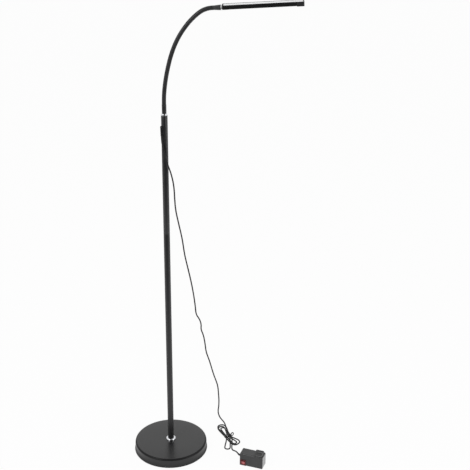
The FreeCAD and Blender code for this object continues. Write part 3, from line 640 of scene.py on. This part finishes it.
# Base and pole, in millimetres
base_top = 34
section_length = 389.5
pole_top = base_top + 3 * section_length
base_outline = [(10.2, base_top), (60, base_top)] + quarter(117, base_top - 7, 7, 90, 0, 12) + [
    (124.2, 18), (124.6, 10), (125, 6), (125.6, 4), (126, 3), (125.9, 2.2), (125.4, 2), (124.2, 2),
    (122.4, 8), (122.4, base_top - 8), (117, base_top - 1.6), (10.2, base_top - 1.6),
]
finished(spun(base_outline, 160), "base_cover", base_paint, "stand", "base_shell")
collar_outline = [(10.06, base_top), (16.2, base_top), (16.5, base_top + 0.3)]
collar_outline += quarter(13.7, base_top + 3.4, 2.8, 0, 62, 5)
collar_outline += [
    (13.6, base_top + 6.5), (12.3, base_top + 6.9), (10.7, base_top + 7), (10.06, base_top + 6.6),
]
finished(spun(collar_outline), "foot_ring", chrome, "stand", "foot_collar")
for number, name in enumerate(("pole_lower", "pole_middle")):
    low = base_top + section_length * number
    high = low + section_length
    finished(
        spun([(9, low), (9.7, low), (10, low + 0.35), (10, high - 0.35), (9.7, high), (9, high)], 64),
        name + "_tube", pole_paint, "stand", name,
    )
cap_outline = [(5.06, pole_top), (9.8, pole_top), (10, pole_top + 0.3)]
cap_outline += quarter(7.6, pole_top + 2.2, 2.4, 0, 90, 7)[:-1]
cap_outline += [(7.4, pole_top + 5.6), (5.06, pole_top + 6)]
finished(spun(cap_outline), "pole_top_cap", chrome, "stand", "pole_cap")

# Gooseneck: a sleeve over the links, from the middle of each to the middle of the next
link_length = 43 * mm
pole_cuff = 4 * mm
head_cuff = 6 * mm
link_turns = (6.5, 4.5, 4.0, 6.5, 9.5, 9.0, 12.0, 34.5)
neck_joints = [joint for joint in frame["joints"] if joint["name"].startswith("neck")]
pivots = [Vector(joint["pos_m"]) for joint in neck_joints]
sleeve_radius = 6.5 * mm
half_rings = 12
leans = [0]
for link_turn in link_turns:
    leans.append(leans[-1] + link_turn)


def inward(lean):
    """Unit vector towards the inside of the neck's bend."""
    return Vector((math.cos(math.radians(lean)), 0, -math.sin(math.radians(lean))))


def onward(lean):
    """Unit vector along the neck."""
    return Vector((math.sin(math.radians(lean)), 0, math.cos(math.radians(lean))))


def link_hub(number):
    """Centre of a link's bend, and its radius."""
    bend = link_length / math.radians(link_turns[number])
    return pivots[number] + inward(leans[number]) * bend, bend


def link_place(number, share):
    """Point on the middle line of a link, and its lean there."""
    hub, bend = link_hub(number)
    lean = leans[number] + link_turns[number] * share
    return hub - inward(lean) * bend, lean


def sleeve_start(number):
    """Where a joint's sleeve starts, and its lean there."""
    return link_place(number - 1, 0.5) if number else (pivots[0] - onward(0) * pole_cuff, 0)


def extended(mesh, edge, way, layer, distance):
    """Draw a sleeve's end ring straight on in two steps, to a distance along the neck."""
    for share in (0.5, 1.0):
        lines = [part for part in edge if isinstance(part, bmesh.types.BMEdge)]
        made = bmesh.ops.extrude_edge_only(mesh, edges=lines)["geom"]
        points = [part for part in made if isinstance(part, bmesh.types.BMVert)]
        edge = points + [
            part for part in made
            if isinstance(part, bmesh.types.BMEdge) and all(end in points for end in part.verts)
        ]
        bmesh.ops.translate(mesh, verts=points, vec=way / 2)
        for point in points:
            point[layer] = distance + way.length * (share - 1)
    return edge


def sleeve(number):
    """Sleeve across one joint, with its distance along the neck kept on its points."""
    mesh = bmesh.new()
    layer = mesh.verts.layers.float.new("along")
    start, lean = sleeve_start(number)
    turned_ring = Matrix.Translation(start) @ Matrix.Rotation(math.radians(lean), 4, "Y")
    ring = bmesh.ops.create_circle(mesh, segments=40, radius=sleeve_radius, matrix=turned_ring)["verts"]
    for point in ring:
        point[layer] = (number - 0.5) * link_length if number else -pole_cuff
    edge = ring + list({line for point in ring for line in point.link_edges})
    if not number:
        edge = extended(mesh, edge, onward(0) * pole_cuff, layer, 0.0)
    spans = []
    if number:
        spans.append((number - 1, 0.5))
    if number < 8:
        spans.append((number, 0.0))
    for link, first in spans:
        hub = link_hub(link)[0]
        angle = math.radians(link_turns[link]) * 0.5 / half_rings
        for step in range(half_rings):
            made = bmesh.ops.spin(mesh, geom=edge, cent=hub, axis=(0, 1, 0), angle=angle, steps=1)
            edge = made["geom_last"]
            share = first + 0.5 * (step + 1) / half_rings
            for part in edge:
                if isinstance(part, bmesh.types.BMVert):
                    part[layer] = (link + share) * link_length
    if number == 8:
        extended(mesh, edge, onward(leans[8]) * head_cuff, layer, 8 * link_length + head_cuff)
    bmesh.ops.remove_doubles(mesh, verts=mesh.verts, dist=0.001 * mm)
    bmesh.ops.recalc_face_normals(mesh, faces=mesh.faces)
    return mesh


for number in range(9):
    piece = finished(sleeve(number), "neck_sleeve_%d" % number, sleeve_rubber, None)
    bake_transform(piece)
    if number:
        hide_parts("neck_link_%d" % number)

# Light head and some pieces of the stand: the nodes' own shapes, and how many millimetres their edges are
# broken by. The strip is a little thicker than in the source, as the photo shows more of it.
strip_lift = 0.6 * mm
head_pieces = {
    "head_ferrule": (ferrule_paint, 0.2), "head_ring": (ring_satin, 0),
    "head_housing": (head_paint, 0.25), "head_strip": (silver, 0.15),
    "head_end_cap": (cap_plastic, 0.3), "head_diffuser": (opal, 0.2), "head_socket": (head_paint, 0.2),
}
for name, (material, edge) in head_pieces.items():
    mesh = softened(name, edge)
    if name == "head_strip":
        thickened(mesh, inward(leans[8]) * -strip_lift)
    finished(mesh, name + "_trim", material, "head", name)
stand_pieces = {
    "neck_ferrule": (pole_paint, 0.2), "cord_boot": (sheath, 0.2), "hank_tie": (tie_plastic, 0.15),
    "adapter_relief": (sheath, 0.15), "pole_upper": (pole_paint, 0.2),
}
for name, (material, edge) in stand_pieces.items():
    finished(softened(name, edge), name + "_trim", material, "stand", name)

dress(case_painted_light, "adapter_shell")
dress(case_plastic, "adapter_cover", "plug_plate")
dress(bezel_red, "switch_bezel")
dress(rocker_red_painted_highlight, "power_rocker")
dress(chrome, "plug_pins")
dress(steel, "base_plate", "base_washer", "base_nut", "base_stud")
dress(steel, "foot_bush", "pole_couplers", "neck_bush", "head_screws")
dress(ballast, "base_weight")
dress(foam_pad, "floor_pad")
dress(lead_plastic, "pole_lead", "head_lead", *["neck_lead_%d" % number for number in range(1, 9)])
dress(board_green, "adapter_board", "driver_board")
dress(board_white, "led_board")
dress(chip_yellow, "led_chips")
dress(core_steel, "adapter_transformer")

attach(lamp_cord, "stand")
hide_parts("supply_cord", "cord_hank", "tail_cord")


# Floor, world and lamps

studio_dark = 0.05
base_reach = 0.126


def white_floor():
    """Pale floor, white to the camera. Reflections find it dark far in front, and a painted shadow makes
    it dark close to the base.
    """
    finish = Finish("floor_white")
    looked, mirrored, through = finish.ray("Camera"), finish.ray("Glossy"), finish.ray("Transmission")
    forward = finish.axis(finish.place(), "Y")
    lit = finish.eased(forward, -1.5, -0.5, studio_dark, 1.0)
    # Painted shadow: reflections see the floor darker within a ring just outside the base.
    lit = lit * finish.eased(finish.apart(), base_reach, base_reach + 0.024, 0.1, 1.0)
    plain = finish.node("ShaderNodeBsdfDiffuse", None, {"Color": (0.85, 0.85, 0.85, 1)})
    glow_and_painted_highlight = finish.mixed(looked + through + mirrored * lit, (0, 0, 0), (1, 1, 1))
    white = finish.node("ShaderNodeEmission", None, {"Color": glow_and_painted_highlight, "Strength": 1.0})
    share = (looked + mirrored + through) * 0.96
    return finish.closed(finish.node("ShaderNodeMixShader", None, {0: share, 1: plain, 2: white}))


def white_room():
    """White room. Reflections find it dark in front of the lamp, and overhead in a strip there."""
    finish = Finish("studio", bpy.data.worlds)
    looked, mirrored = finish.ray("Camera"), finish.ray("Glossy")
    way = finish.node("ShaderNodeTexCoord", output="Generated")
    forward = finish.axis(way, "Y")
    sideways = finish.node("ShaderNodeMath", {"operation": "ABSOLUTE"}, {0: finish.axis(way, "X")})
    beside = finish.eased(sideways, 0.12, 0.3, 0.0, 1.0)
    strip = (1.0 - beside) * finish.eased(forward, -0.1, 0.1, 1.0 - studio_dark, 0.0)
    lit = finish.eased(forward, -0.6, -0.2, studio_dark, 1.0) * (1.0 - strip)
    strength = looked * 0.5 + mirrored * (lit - 0.5) + 0.5
    sky = finish.node("ShaderNodeBackground", None, {"Color": (1, 1, 1, 1), "Strength": strength})
    return finish.closed(sky, "ShaderNodeOutputWorld")


floor = bmesh.new()
bmesh.ops.create_grid(floor, x_segments=1, y_segments=1, size=12)
bmesh.ops.translate(floor, verts=floor.verts, vec=(0, 0, -0.02 * mm))
finished(floor, "floor", white_floor(), None)
scene.world = white_room()


def soft_lamp(name, place, aim, size, power):
    """Large lamp that shines at a point."""
    lamp_data = bpy.data.lights.new(name, "AREA")
    lamp_data.shape = "RECTANGLE"
    lamp_data.size, lamp_data.size_y = size
    lamp_data.energy = power
    lamp = bpy.data.objects.new(name, lamp_data)
    lamp.location = place
    lamp.rotation_euler = (Vector(aim) - Vector(place)).to_track_quat("-Z", "Y").to_euler()
    scene.collection.objects.link(lamp)


soft_lamp("key_lamp", (-2.2, -2.4, 2.8), (0.1, 0, 0.8), (1.4, 2.2), 60)
soft_lamp("fill_lamp", (2.8, -1.6, 1.8), (0.1, 0, 0.7), (1.2, 2.2), 26)
